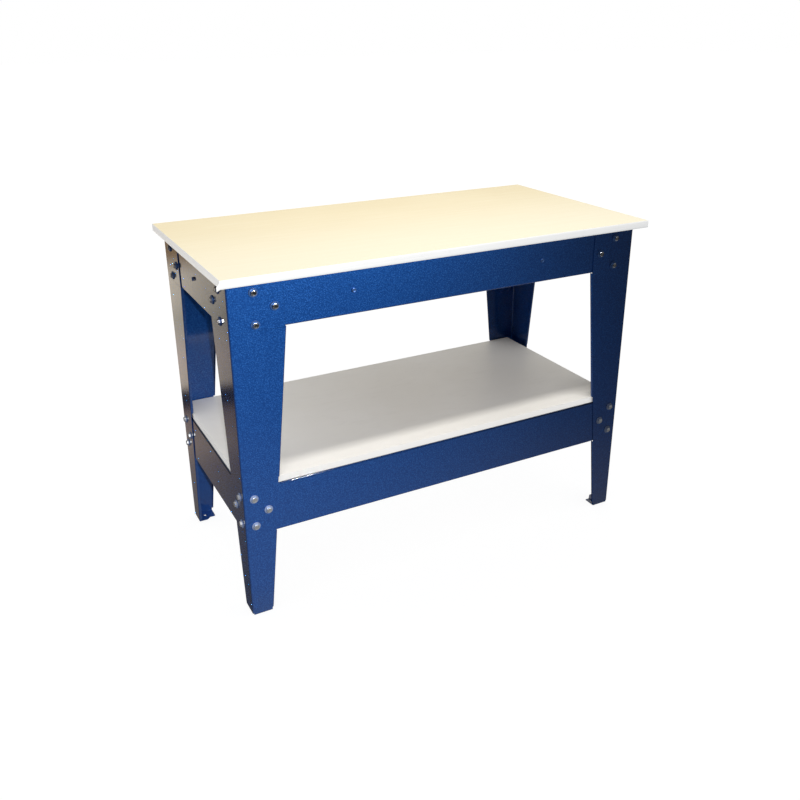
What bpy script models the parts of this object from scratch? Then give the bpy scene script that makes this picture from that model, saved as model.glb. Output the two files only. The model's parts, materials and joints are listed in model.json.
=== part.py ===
"""Work table on four folded sheet-steel legs.

A laminated board top sits on four aprons; a shelf board sits on four lower
rails.  Aprons and rails are folded channels bolted inside the L-section legs
with three bolts at every face of every leg.  X runs along the length, the
front faces -Y, Z is up and the feet stand on z = 0.
"""
import math

import bpy
import bmesh
from mathutils import Vector
from mathutils.geometry import tessellate_polygon

# ---- driving dimensions (metres) ------------------------------------------
GAP = 0.0003            # working gap between touching parts

TOP_LEN = 1.219         # tabletop with its edge bands
TOP_DEPTH = 0.627
HEIGHT = 0.914
TOP_THK = 0.020
BAND = 0.0012           # edge band thickness
LAMINATE = 0.0012

FRAME_LEN = 1.178       # over the outer faces of the legs
FRAME_DEPTH = 0.557
SHEET = 0.0020          # all folded sheet
CORNER_R = 0.0040       # outer radius of the leg corner
FOLD_R = 0.0030         # outer radius of every other fold
LEG_TOP_W = 0.138       # width of each leg face beside the apron
LEG_FOOT_W = 0.056      # and at the floor
LIP = 0.0070            # return lip along the inner leg edges
LIP_END = 0.0030        # lips stop this far from aprons, rails and shelf
FOOT_FLANGE = 0.040
FOOT_HOLE_AT = 0.025
FOOT_HOLE_R = 0.0050

APRON_Z0 = 0.775
RAIL_Z0, RAIL_Z1 = 0.236, 0.368
FLANGE = 0.020          # inward flanges of aprons and rails
COPE = 0.0280           # flange ends kept clear of each corner
WEB_END = 0.0055        # web ends kept clear of each corner
SHELF_THK = 0.0175
SHELF_INSET = 0.0060
SHELF_PLAY = 0.0175      # the board is this much short and sits against the left end
SHELF_CORNER = 0.0050

BOLT_PITCH = 0.0385     # vertical spacing in a three-bolt group
UPPER_U = (0.063, 0.112)
UPPER_Z = 0.828
LOWER_U = (0.027, 0.062)
LOWER_Z = 0.303
SHANK_R = 0.0038        # frame bolts, M8
HOLE_R = 0.0046
HEAD_R, HEAD_H = 0.0073, 0.0053
WASHER_R, WASHER_T = 0.0110, 0.0016
PLATE_T = 0.0025        # nut plate behind each group
PLATE_EDGE = 0.0110
NUT_H = 0.0060
SMALL_SHANK_R = 0.0029  # bracket bolts, M6 without washers
SMALL_HOLE_R = 0.0034
SMALL_HEAD_R, SMALL_HEAD_H = 0.0057, 0.0040
SMALL_NUT_H = 0.0048

BRACKET_W, BRACKET_T, BRACKET_REACH = 0.030, 0.0025, 0.038
BRACKET_Z = 0.835       # single bolts through the aprons
BRACKET_X = 0.277
SCREW_R, SCREW_HOLE_R = 0.0018, 0.0023
SCREW_HEAD_R, SCREW_HEAD_H = 0.0045, 0.0025
SCREW_BITE = 0.0120
SHELF_SCREW_X, SHELF_SCREW_B = 0.350, 0.013

# ---- derived ---------------------------------------------------------------
HX, HY = FRAME_LEN / 2, FRAME_DEPTH / 2
TOP_Z = HEIGHT - TOP_THK            # underside of the tabletop
FRAME_Z = TOP_Z - GAP               # top of legs and aprons
CORE_THK = TOP_THK - LAMINATE - GAP
WEB_B = SHEET + GAP                 # outer face of aprons and rails
BACK_B = WEB_B + SHEET + GAP        # first free plane behind their webs
SHELF_Z = RAIL_Z1 + GAP

FINISHES = {
    "paint": ((0.020, 0.110, 0.400, 1), 0.35, 0.45),
    "zinc": ((0.620, 0.620, 0.600, 1), 1.00, 0.30),
    "board": ((0.560, 0.430, 0.280, 1), 0.00, 0.80),
    "laminate": ((0.860, 0.800, 0.640, 1), 0.00, 0.35),
    "band": ((0.900, 0.900, 0.880, 1), 0.00, 0.40),
    "shelf": ((0.780, 0.770, 0.740, 1), 0.00, 0.45),
}


# ---- helpers ---------------------------------------------------------------
def make_collection(name):
    coll = bpy.data.collections.new(name)
    bpy.context.scene.collection.children.link(coll)
    return coll


def make_material(name, finish):
    colour, metallic, roughness = FINISHES[finish]
    mat = bpy.data.materials.new(name)
    mat.use_nodes = True
    bsdf = mat.node_tree.nodes["Principled BSDF"]
    bsdf.inputs["Base Color"].default_value = colour
    bsdf.inputs["Metallic"].default_value = metallic
    bsdf.inputs["Roughness"].default_value = roughness
    mat.diffuse_color = colour
    return mat


def add_object(name, bm, collection, finish=None):
    mesh = bpy.data.meshes.new(name)
    bm.to_mesh(mesh)
    bm.free()
    ob = bpy.data.objects.new(name, mesh)
    collection.objects.link(ob)
    if finish:
        mesh.materials.append(make_material(name + "_finish", finish))
    return ob


def add_solid(name, bm, collection, finish=None):
    bmesh.ops.recalc_face_normals(bm, faces=bm.faces)
    return add_object(name, bm, collection, finish)


def cut_with(ob, cutter):
    mod = ob.modifiers.new("holes_" + cutter.name, "BOOLEAN")
    mod.operation = "DIFFERENCE"
    mod.solver = "EXACT"
    mod.object = cutter


def corner(sx, sy):
    """Place points given inward from one corner of the leg frame.

    a runs inward along X from the end plane, b inward along Y from the front
    or back plane."""
    return lambda a, b, z: Vector((sx * (HX - a), sy * (HY - b), z))


def turned(place):
    """The same placing with the two inward directions swapped."""
    return lambda a, b, z: place(b, a, z)


def quarter(n):
    return [math.radians(90 * i / n) for i in range(n + 1)]


def fold_sheet(name, patches, flip, finish, thickness=SHEET):
    """Fold one sheet from grids of outer-skin points.

    Every patch is (rows, keep): rows of equal length and a test telling which
    cells of the grid are metal.  The thickness grows away from the skin."""
    bm = bmesh.new()
    for rows, keep in patches:
        grid = [[bm.verts.new(p) for p in row] for row in rows]
        for j in range(len(rows) - 1):
            for i in range(len(rows[0]) - 1):
                if keep(j, i):
                    quad = [grid[j][i], grid[j][i + 1],
                            grid[j + 1][i + 1], grid[j + 1][i]]
                    bm.faces.new(quad[::-1] if flip else quad)
    bmesh.ops.remove_doubles(bm, verts=bm.verts, dist=0.00001)
    loose = [v for v in bm.verts if not v.link_faces]
    bmesh.ops.delete(bm, geom=loose, context="VERTS")
    ob = add_object(name, bm, PARTS, finish)
    mod = ob.modifiers.new("thickness", "SOLIDIFY")
    mod.thickness = thickness
    mod.offset = -1
    mod.use_even_offset = True
    return ob


def board(name, x, y, z, finish, chamfer=0.0):
    """A flat board between the given limits with optional cut corners."""
    (x0, x1), (y0, y1), (z0, z1) = x, y, z
    if chamfer:
        c = chamfer
        plan = [(x0 + c, y0), (x1 - c, y0), (x1, y0 + c), (x1, y1 - c),
                (x1 - c, y1), (x0 + c, y1), (x0, y1 - c), (x0, y0 + c)]
    else:
        plan = [(x0, y0), (x1, y0), (x1, y1), (x0, y1)]
    bm = bmesh.new()
    low = [bm.verts.new((px, py, z0)) for px, py in plan]
    high = [bm.verts.new((px, py, z1)) for px, py in plan]
    bm.faces.new(low[::-1])
    bm.faces.new(high)
    join_rings(bm, low, high)
    return add_solid(name, bm, PARTS, finish)


def circle(u, v, r, n, phase=0.0):
    step = 2 * math.pi / n
    return [(u + r * math.cos(step * (i + phase)), v + r * math.sin(step * (i + phase)))
            for i in range(n)]


def join_rings(bm, one, two):
    n = len(one)
    for i in range(n):
        k = (i + 1) % n
        bm.faces.new((one[i], one[k], two[k], two[i]))


def fill(bm, outer, *holes):
    """Fill the flat area between one closed ring and the rings inside it."""
    rings = [outer, *holes]
    verts = [v for ring in rings for v in ring]
    for tri in tessellate_polygon([[v.co for v in ring] for ring in rings]):
        bm.faces.new([verts[i] for i in tri])


def add_rod(bm, place, centre, d0, d1, r, n=8):
    """A closed round bar along the third placing direction."""
    u, v = centre
    ends = [[bm.verts.new(place(pu, pv, d)) for pu, pv in circle(u, v, r, n, 0.5)]
            for d in (d0, d1)]
    join_rings(bm, *ends)
    fill(bm, ends[0])
    fill(bm, ends[1])


def add_fastener(bm, place, centre, grip):
    """Hex head, washer and shank; returns the ring where the shank ends."""
    u, v = centre

    def ring(d, r, n):
        return [bm.verts.new(place(pu, pv, d)) for pu, pv in circle(u, v, r, n)]

    seat = -GAP
    head_top = ring(seat - WASHER_T - HEAD_H, HEAD_R, 6)
    head_low = ring(seat - WASHER_T, HEAD_R, 6)
    washer_top = ring(seat - WASHER_T, WASHER_R, 12)
    washer_low = ring(seat, WASHER_R, 12)
    shank_top = ring(seat, SHANK_R, 6)
    shank_low = ring(grip, SHANK_R, 6)
    fill(bm, head_top)
    join_rings(bm, head_top, head_low)
    fill(bm, washer_top, head_low)
    join_rings(bm, washer_top, washer_low)
    fill(bm, washer_low, shank_top)
    join_rings(bm, shank_top, shank_low)
    return shank_low


def add_nut(bm, place, centre, d0, r=HEAD_R, height=NUT_H):
    """A hex nut standing on d0; returns its lower ring."""
    low, high = [[bm.verts.new(place(pu, pv, d)) for pu, pv in circle(*centre, r, 6)]
                 for d in (d0, d0 + height)]
    join_rings(bm, low, high)
    fill(bm, high)
    return low


def nut_plate_outline(us, z):
    (u0, u1), e, k = us, PLATE_EDGE, 0.7 * PLATE_EDGE
    p = BOLT_PITCH
    return [(u0 - e, z - p - e), (u0 + k, z - p - e), (u1 + e, z - k),
            (u1 + e, z + k), (u0 + k, z + p + e), (u0 - e, z + p + e)]


def group_centres(us, z):
    return [(us[0], z + BOLT_PITCH), (us[1], z), (us[0], z - BOLT_PITCH)]


# ---- parts -----------------------------------------------------------------
def leg_width(z):
    return LEG_FOOT_W + (LEG_TOP_W - LEG_FOOT_W) * min(z, APRON_Z0) / APRON_Z0


def leg_section(z):
    """Outer skin of the leg at one height: lip, face, corner, face, lip."""
    w, r, c = leg_width(z), FOLD_R, CORNER_R
    pts = [(w, LIP)]
    pts += [(w - r + r * math.cos(t), r - r * math.sin(t)) for t in quarter(2)]
    pts += [(c - c * math.sin(t), c - c * math.cos(t)) for t in quarter(3)]
    pts += [(r - r * math.cos(t), w - r + r * math.sin(t)) for t in quarter(2)]
    pts += [(LIP, w)]
    return [(a, b, z) for a, b in pts]


def build_leg(name, sx, sy):
    place = corner(sx, sy)
    step = SHEET + 0.0005           # the second foot flange lies on the first
    levels = [FOLD_R, step + FOLD_R, 0.020, RAIL_Z0 - LIP_END,
              SHELF_Z + SHELF_THK + LIP_END, APRON_Z0 - LIP_END, APRON_Z0, FRAME_Z]
    lip_cells, front_cell, end_cell = {0, 1, 2, 8, 9, 10}, 3, 7
    lipped_rows = {2, 4}

    def metal(j, i):
        if j == 0:
            return i == front_cell
        return i not in lip_cells or j in lipped_rows

    wall = [[place(*p) for p in leg_section(z)] for z in levels]
    patches = [(wall, metal)]
    for swap, z0, row in ((False, 0.0, 0), (True, step, 1)):
        put = turned(place) if swap else place
        inner = leg_width(levels[row]) - FOLD_R
        rows = []
        for t in quarter(2):
            b, z = FOLD_R * (1 - math.cos(t)), z0 + FOLD_R * (1 - math.sin(t))
            rows.append([put(inner, b, z), put(CORNER_R, b, z)])
        rows.append([put(inner, FOOT_FLANGE, z0), put(CORNER_R, FOOT_FLANGE, z0)])
        if swap:
            rows = [row[::-1] for row in rows]
        patches.append((rows[::-1], lambda j, i: True))
    leg = fold_sheet(name, patches, sx * sy > 0, "paint")
    cut_with(leg, bolt_holes)
    return leg


def build_channel(name, axis, side, z0, z1, top_flange):
    """An apron or rail: a web with inward flanges kept clear of the corners."""
    half = (HX if axis == "x" else HY) - WEB_END
    stations = (-half, -half + COPE, half - COPE, half)
    r, b0 = FOLD_R, WEB_B
    profile = [(b0 + FLANGE, z0)]
    profile += [(b0 + r - r * math.sin(t), z0 + r - r * math.cos(t)) for t in quarter(2)]
    if top_flange:
        profile += [(b0 + r - r * math.cos(t), z1 - r + r * math.sin(t)) for t in quarter(2)]
        profile += [(b0 + FLANGE, z1)]
    else:
        profile += [(b0, z1)]
    web_cell = 3

    def place(s, b, z):
        if axis == "x":
            return Vector((s, side * (HY - b), z))
        return Vector((side * (HX - b), s, z))

    rows = [[place(s, b, z) for b, z in profile] for s in stations]
    flip = (side < 0) == (axis == "x")
    ob = fold_sheet(name, [(rows, lambda j, i: i == web_cell or j == 1)], flip, "paint")
    cut_with(ob, bolt_holes)
    if top_flange:
        cut_with(ob, screw_holes)
    return ob


def build_bolt_group(name, place, us, z):
    """Three bolts drawn into one nut plate behind the apron or rail."""
    bm = bmesh.new()
    near, far = BACK_B, BACK_B + PLATE_T
    outline = nut_plate_outline(us, z)
    faces = [[bm.verts.new(place(u, v, d)) for u, v in outline] for d in (near, far)]
    shanks, nuts = [], []
    for centre in group_centres(us, z):
        shanks.append(add_fastener(bm, place, centre, near))
        nuts.append(add_nut(bm, place, centre, far))
    join_rings(bm, *faces)
    fill(bm, faces[0], *shanks)
    fill(bm, faces[1], *nuts)
    return add_solid(name, bm, PARTS, "zinc")


def build_bracket(name, place, flip):
    """Angle bracket from the apron web to the underside of the tabletop."""
    r, low, top, b0 = FOLD_R, BRACKET_Z - 0.013, FRAME_Z, BACK_B
    profile = [(b0, low)]
    profile += [(b0 + r - r * math.cos(t), top - r + r * math.sin(t)) for t in quarter(2)]
    profile += [(b0 + BRACKET_REACH, top)]
    rows = [[place(s, b, z) for b, z in profile] for s in (-BRACKET_W / 2, BRACKET_W / 2)]
    ob = fold_sheet(name, [(rows, lambda j, i: True)], flip, "zinc", BRACKET_T)
    cut_with(ob, bolt_holes)
    cut_with(ob, screw_holes)


def build_bracket_bolt(name, place):
    bm = bmesh.new()
    put = lambda u, v, d: place(u, d, v)
    centre = (0.0, BRACKET_Z)
    grip = BACK_B + BRACKET_T + GAP
    seat = -GAP + WEB_B

    def ring(d, r):
        return [bm.verts.new(put(pu, pv, d)) for pu, pv in circle(*centre, r, 6)]

    head_top, head_low = ring(seat - SMALL_HEAD_H, SMALL_HEAD_R), ring(seat, SMALL_HEAD_R)
    shank_top, shank_low = ring(seat, SMALL_SHANK_R), ring(grip, SMALL_SHANK_R)
    fill(bm, head_top)
    join_rings(bm, head_top, head_low)
    fill(bm, head_low, shank_top)
    join_rings(bm, shank_top, shank_low)
    nut = add_nut(bm, put, centre, grip, SMALL_HEAD_R, SMALL_NUT_H)
    fill(bm, nut, shank_low)
    return add_solid(name, bm, PARTS, "zinc")


def build_screw(name, x, y, seat, bite):
    """A pan-head wood screw driven straight up from below."""
    bm = bmesh.new()

    def ring(z, r, n):
        return [bm.verts.new((px, py, z)) for px, py in circle(x, y, r, n)]

    head_low = ring(seat - SCREW_HEAD_H, 0.7 * SCREW_HEAD_R, 12)
    head_mid = ring(seat - 0.4 * SCREW_HEAD_H, SCREW_HEAD_R, 12)
    head_top = ring(seat, SCREW_HEAD_R, 12)
    shank_low = ring(seat, SCREW_R, 6)
    shank_high = ring(bite - 0.003, SCREW_R, 6)
    tip = ring(bite, 0.3 * SCREW_R, 6)
    fill(bm, head_low)
    join_rings(bm, head_low, head_mid)
    join_rings(bm, head_mid, head_top)
    fill(bm, head_top, shank_low)
    join_rings(bm, shank_low, shank_high)
    join_rings(bm, shank_high, tip)
    fill(bm, tip)
    return add_solid(name, bm, PARTS, "zinc")


# ---- build -----------------------------------------------------------------
for old in list(bpy.data.objects):
    bpy.data.objects.remove(old, do_unlink=True)

PARTS = make_collection("router_table")
CUTTERS = make_collection("cutters")

CORNERS = {"front_left": (-1, -1), "front_right": (1, -1),
           "back_left": (-1, 1), "back_right": (1, 1)}
SIDES = {"front": ("x", -1), "back": ("x", 1), "left": ("y", -1), "right": ("y", 1)}


def bracket_place(axis, side, offset):
    """Placing of one bracket: s along the apron, b inward, z up."""
    if axis == "x":
        return lambda s, b, z: Vector((offset + s, side * (HY - b), z))
    return lambda s, b, z: Vector((side * (HX - b), offset + s, z))


BRACKETS = {"front_left": ("x", -1, -BRACKET_X), "front_right": ("x", -1, BRACKET_X),
            "back_left": ("x", 1, -BRACKET_X), "back_right": ("x", 1, BRACKET_X),
            "left": ("y", -1, 0.0), "right": ("y", 1, 0.0)}
SCREW_B = BACK_B + 0.62 * BRACKET_REACH

bolt_bm, screw_bm = bmesh.new(), bmesh.new()
for sx, sy in CORNERS.values():
    put = corner(sx, sy)
    for across in (put, turned(put)):
        for us, level in ((UPPER_U, UPPER_Z), (LOWER_U, LOWER_Z)):
            for centre in group_centres(us, level):
                along = lambda u, v, d, f=across: f(u, d, v)
                add_rod(bolt_bm, along, centre, -0.004, BACK_B + 0.003, HOLE_R)
    add_rod(bolt_bm, put, (FOOT_HOLE_AT, FOOT_HOLE_AT), -0.004, 0.010, FOOT_HOLE_R)
for axis, side, offset in BRACKETS.values():
    put = bracket_place(axis, side, offset)
    add_rod(bolt_bm, lambda u, v, d: put(u, d, v), (0.0, BRACKET_Z), -0.004,
            BACK_B + 0.006, SMALL_HOLE_R)
    spot = put(0.0, SCREW_B, 0.0)
    add_rod(screw_bm, lambda u, v, d: Vector((u, v, d)), spot[:2],
            FRAME_Z - 0.006, TOP_Z + SCREW_BITE + 0.0006, SCREW_HOLE_R)
SHELF_SCREWS = {f"{end}_{face}": (ex * SHELF_SCREW_X, fy * (HY - SHELF_SCREW_B))
                for end, ex in (("left", -1), ("right", 1))
                for face, fy in (("front", -1), ("back", 1))}
for spot in SHELF_SCREWS.values():
    add_rod(screw_bm, lambda u, v, d: Vector((u, v, d)), spot,
            RAIL_Z1 - 0.006, SHELF_Z + SCREW_BITE + 0.0006, SCREW_HOLE_R)
bolt_holes = add_solid("bolt_holes", bolt_bm, CUTTERS)
screw_holes = add_solid("screw_holes", screw_bm, CUTTERS)
for cutter in (bolt_holes, screw_holes):
    cutter.hide_render = True
    cutter.display_type = "WIRE"

# tabletop
tx, ty = TOP_LEN / 2, TOP_DEPTH / 2
cx, cy = tx - BAND - GAP, ty - BAND - GAP
core = board("tabletop_core", (-cx, cx), (-cy, cy), (TOP_Z, TOP_Z + CORE_THK), "board")
cut_with(core, screw_holes)
board("top_laminate", (-cx, cx), (-cy, cy), (HEIGHT - LAMINATE, HEIGHT), "laminate")
for name, side in (("front", -1), ("back", 1)):
    edge = sorted((side * ty, side * (ty - BAND)))
    board("edge_band_" + name, (-tx, tx), edge, (TOP_Z, HEIGHT), "band")
for name, side in (("left", -1), ("right", 1)):
    edge = sorted((side * tx, side * (tx - BAND)))
    board("edge_band_" + name, edge, (-cy, cy), (TOP_Z, HEIGHT), "band")

# frame
for name, (sx, sy) in CORNERS.items():
    build_leg("leg_" + name, sx, sy)
for name, (axis, side) in SIDES.items():
    build_channel("apron_" + name, axis, side, APRON_Z0, FRAME_Z, False)
    build_channel("rail_" + name, axis, side, RAIL_Z0, RAIL_Z1, True)

# shelf
sx2, sy2 = HX - SHELF_INSET, HY - SHELF_INSET
shelf = board("shelf_board", (-sx2, sx2 - SHELF_PLAY), (-sy2, sy2), (SHELF_Z, SHELF_Z + SHELF_THK),
              "shelf", SHELF_CORNER)
cut_with(shelf, screw_holes)

# fasteners
for name, (sx, sy) in CORNERS.items():
    put = corner(sx, sy)
    face = name.split("_")[0]
    for tag, across in ((face, put), ("end", turned(put))):
        for level, us, z in (("upper", UPPER_U, UPPER_Z), ("lower", LOWER_U, LOWER_Z)):
            along = lambda u, v, d, f=across: f(u, d, v)
            build_bolt_group(f"bolts_{name}_{tag}_{level}", along, us, z)
for name, (axis, side, offset) in BRACKETS.items():
    put = bracket_place(axis, side, offset)
    build_bracket("bracket_" + name, put, (side < 0) == (axis == "x"))
    build_bracket_bolt("bracket_bolt_" + name, put)
    spot = put(0.0, SCREW_B, 0.0)
    build_screw("top_screw_" + name, spot.x, spot.y, FRAME_Z - BRACKET_T - GAP,
                TOP_Z + SCREW_BITE)
for name, (x, y) in SHELF_SCREWS.items():
    build_screw("shelf_screw_" + name, x, y, RAIL_Z1 - SHEET - GAP, SHELF_Z + SCREW_BITE)
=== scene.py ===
"""Work table with a laminated top on folded sheet-steel legs: the visual model."""

import json
import math
import random

import bpy
import bmesh
from mathutils import Matrix, Vector
from mathutils.geometry import tessellate_polygon

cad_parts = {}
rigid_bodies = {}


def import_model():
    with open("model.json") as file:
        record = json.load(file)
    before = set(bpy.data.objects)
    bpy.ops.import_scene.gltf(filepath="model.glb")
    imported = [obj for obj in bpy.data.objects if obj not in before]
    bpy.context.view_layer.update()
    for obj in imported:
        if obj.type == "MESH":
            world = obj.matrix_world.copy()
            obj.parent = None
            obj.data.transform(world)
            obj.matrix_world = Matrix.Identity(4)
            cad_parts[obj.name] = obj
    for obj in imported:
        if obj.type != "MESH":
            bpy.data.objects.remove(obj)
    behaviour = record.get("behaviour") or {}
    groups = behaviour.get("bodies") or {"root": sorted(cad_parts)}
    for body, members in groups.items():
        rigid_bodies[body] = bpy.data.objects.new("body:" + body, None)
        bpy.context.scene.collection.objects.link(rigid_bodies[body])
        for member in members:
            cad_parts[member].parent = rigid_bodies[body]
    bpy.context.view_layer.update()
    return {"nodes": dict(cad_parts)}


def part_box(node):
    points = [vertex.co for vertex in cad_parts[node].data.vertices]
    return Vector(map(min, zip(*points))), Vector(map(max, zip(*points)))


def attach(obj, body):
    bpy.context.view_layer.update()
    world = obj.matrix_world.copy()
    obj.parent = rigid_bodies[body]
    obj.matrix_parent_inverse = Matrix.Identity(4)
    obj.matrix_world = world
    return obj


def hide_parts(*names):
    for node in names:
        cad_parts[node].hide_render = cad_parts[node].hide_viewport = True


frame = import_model()

scene = bpy.context.scene

# ---- sizes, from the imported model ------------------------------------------
leg_lo, leg_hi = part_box("leg_front_left")
apron_lo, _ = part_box("apron_front")
rail_lo, rail_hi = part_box("rail_front")
shelf_lo, shelf_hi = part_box("shelf_board")
core_lo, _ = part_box("tabletop_core")
lam_lo, lam_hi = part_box("top_laminate")
band_lo, band_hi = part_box("edge_band_front")
side_band_lo, side_band_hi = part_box("edge_band_left")

HX, HY = -leg_lo.x, -leg_lo.y       # half length and depth over the legs
FRAME_Z = leg_hi.z
HEIGHT, TOP_Z = band_hi.z, band_lo.z
TX, TY = band_hi.x, -band_lo.y      # half length and depth over the top
APRON_Z0, RAIL_Z0, RAIL_Z1 = apron_lo.z, rail_lo.z, rail_hi.z
WEB_B = HY + apron_lo.y             # outer face of aprons and rails

GAP = 0.0003
SHEET = 0.0020
BACK_B = WEB_B + SHEET + GAP
CORNER_R = 0.0040
FOLD_R = 0.0030
LEG_TOP_W, LEG_FOOT_W = 0.138, 0.056
LIP, LIP_END = 0.0070, 0.0010
LIP_FOOT = 0.0090                   # lips start this far above the floor
FOOT_SLANT, LIP_SLANT, SHELF_SLANT = 0.0015, 0.0005, 0.0020
FOOT_FLANGE = 0.040
FACE_TRIM, END_TRIM = 0.002, 0.014  # trimmed corners of the two foot flanges
FOOT_HOLE_AT, FOOT_HOLE_R = 0.025, 0.0050
FLANGE = 0.020
COPE = 0.0280
WEB_END = 0.0055
BOLT_PITCH = 0.0385
UPPER_U, UPPER_Z = (0.063, 0.112), 0.828
LOWER_U, LOWER_Z = (0.027, 0.062), 0.303
SHANK_R, HOLE_R = 0.0038, 0.0046
HEAD_R, HEAD_H = 0.0073, 0.0053
WASHER_R, WASHER_T = 0.0110, 0.0016
NUT_H = 0.0060
SMALL_HOLE_R = 0.0034
BRACKET_W, BRACKET_T, BRACKET_REACH = 0.030, 0.0025, 0.038
BRACKET_Z, BRACKET_X = 0.835, 0.277
SCREW_R, SCREW_HEAD_R, SCREW_HEAD_H = 0.0018, 0.0045, 0.0025
SCREW_HOLE_R, SCREW_BITE = 0.0023, 0.0120
SHELF_SCREW_X, SHELF_SCREW_B = 0.350, 0.013
SCREW_B = BACK_B + 0.62 * BRACKET_REACH
EDGE_R = 0.00070                    # softened sheet edges
BAND_BULGE = 0.0008                 # crown of the edge banding
HEAD_SHARP = 32                     # degrees, where fastener faces stay crisp
FLOOR_HALF, FLOOR_DROP = 30.0, 0.0005


# ---- node helpers ----------------------------------------------------------
class Nodes:
    """A small wrapper that adds and links shader nodes."""

    def __init__(self, tree):
        self.tree = tree

    def add(self, kind, _out=None, _props=None, **inputs):
        node = self.tree.nodes.new(kind)
        for key, value in (_props or {}).items():
            setattr(node, key, value)
        for key, value in inputs.items():
            self.put(node, key.replace("_", " "), value)
        return node.outputs[_out or 0]

    def put(self, node, key, value):
        names = [s.name for s in node.inputs]
        if key.isdigit() or key.startswith("in"):
            socket = node.inputs[int(key.strip("in"))]
        else:
            socket = node.inputs[names.index(key)]
        if isinstance(value, bpy.types.NodeSocket):
            self.tree.links.new(value, socket)
        else:
            socket.default_value = value

    def math(self, op, a, b=0.0, c=0.0, clamp=False):
        node = self.tree.nodes.new("ShaderNodeMath")
        node.operation = op
        node.use_clamp = clamp
        for i, value in enumerate((a, b, c)):
            self.put(node, f"in{i}", value)
        return node.outputs[0]

    def mix(self, fac, a, b, mode="MIX"):
        node = self.tree.nodes.new("ShaderNodeMix")
        node.data_type = "RGBA"
        node.blend_type = mode
        node.clamp_factor = True
        for i, value in ((0, fac), (6, a), (7, b)):
            self.put(node, f"in{i}", value)
        return node.outputs[2]

    def ramp(self, value, stops, smooth="LINEAR"):
        node = self.tree.nodes.new("ShaderNodeValToRGB")
        node.color_ramp.interpolation = smooth
        elements = node.color_ramp.elements
        while len(elements) < len(stops):
            elements.new(0.5)
        for element, (pos, colour) in zip(elements, stops):
            element.position = pos
            element.color = colour if len(colour) == 4 else (*colour, 1)
        self.put(node, "Fac", value)
        return node.outputs[0]

    def span(self, value, a, b, c=0.0, d=1.0, smooth=False):
        node = self.tree.nodes.new("ShaderNodeMapRange")
        node.interpolation_type = "SMOOTHSTEP" if smooth else "LINEAR"
        for i, v in enumerate((value, a, b, c, d)):
            self.put(node, f"in{i}", v)
        return node.outputs[0]

    def noise(self, vec, scale, detail=2.0, rough=0.5, out=0):
        node = self.tree.nodes.new("ShaderNodeTexNoise")
        self.put(node, "Vector", vec)
        self.put(node, "Scale", scale)
        self.put(node, "Detail", detail)
        self.put(node, "Roughness", rough)
        return node.outputs[out]

    def voronoi(self, vec, scale, feature="F1", out="Distance", rand=1.0, smooth=None):
        node = self.tree.nodes.new("ShaderNodeTexVoronoi")
        node.feature = feature
        self.put(node, "Vector", vec)
        self.put(node, "Scale", scale)
        self.put(node, "Randomness", rand)
        if smooth is not None:
            self.put(node, "Smoothness", smooth)
        return node.outputs[out]

    def stretch(self, vec, scale):
        node = self.tree.nodes.new("ShaderNodeMapping")
        self.put(node, "Vector", vec)
        self.put(node, "Scale", scale)
        return node.outputs[0]

    def bump(self, height, strength, distance, normal=None):
        node = self.tree.nodes.new("ShaderNodeBump")
        self.put(node, "Height", height)
        self.put(node, "Strength", strength)
        self.put(node, "Distance", distance)
        if normal is not None:
            self.put(node, "Normal", normal)
        return node.outputs[0]


def new_material(name):
    mat = bpy.data.materials.new(name)
    mat.use_nodes = True
    mat.node_tree.nodes.clear()
    n = Nodes(mat.node_tree)
    shader = mat.node_tree.nodes.new("ShaderNodeBsdfPrincipled")
    out = mat.node_tree.nodes.new("ShaderNodeOutputMaterial")
    mat.node_tree.links.new(shader.outputs[0], out.inputs[0])
    coord = mat.node_tree.nodes.new("ShaderNodeTexCoord")
    return mat, n, shader, coord.outputs["Object"]


# ---- materials -------------------------------------------------------------
def beyond_legs(n, x, y):
    """Distance outside the leg faces, negative inside the frame."""
    return n.math("MAXIMUM", n.math("SUBTRACT", n.math("ABSOLUTE", x), HX),
                  n.math("SUBTRACT", n.math("ABSOLUTE", y), HY))


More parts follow.
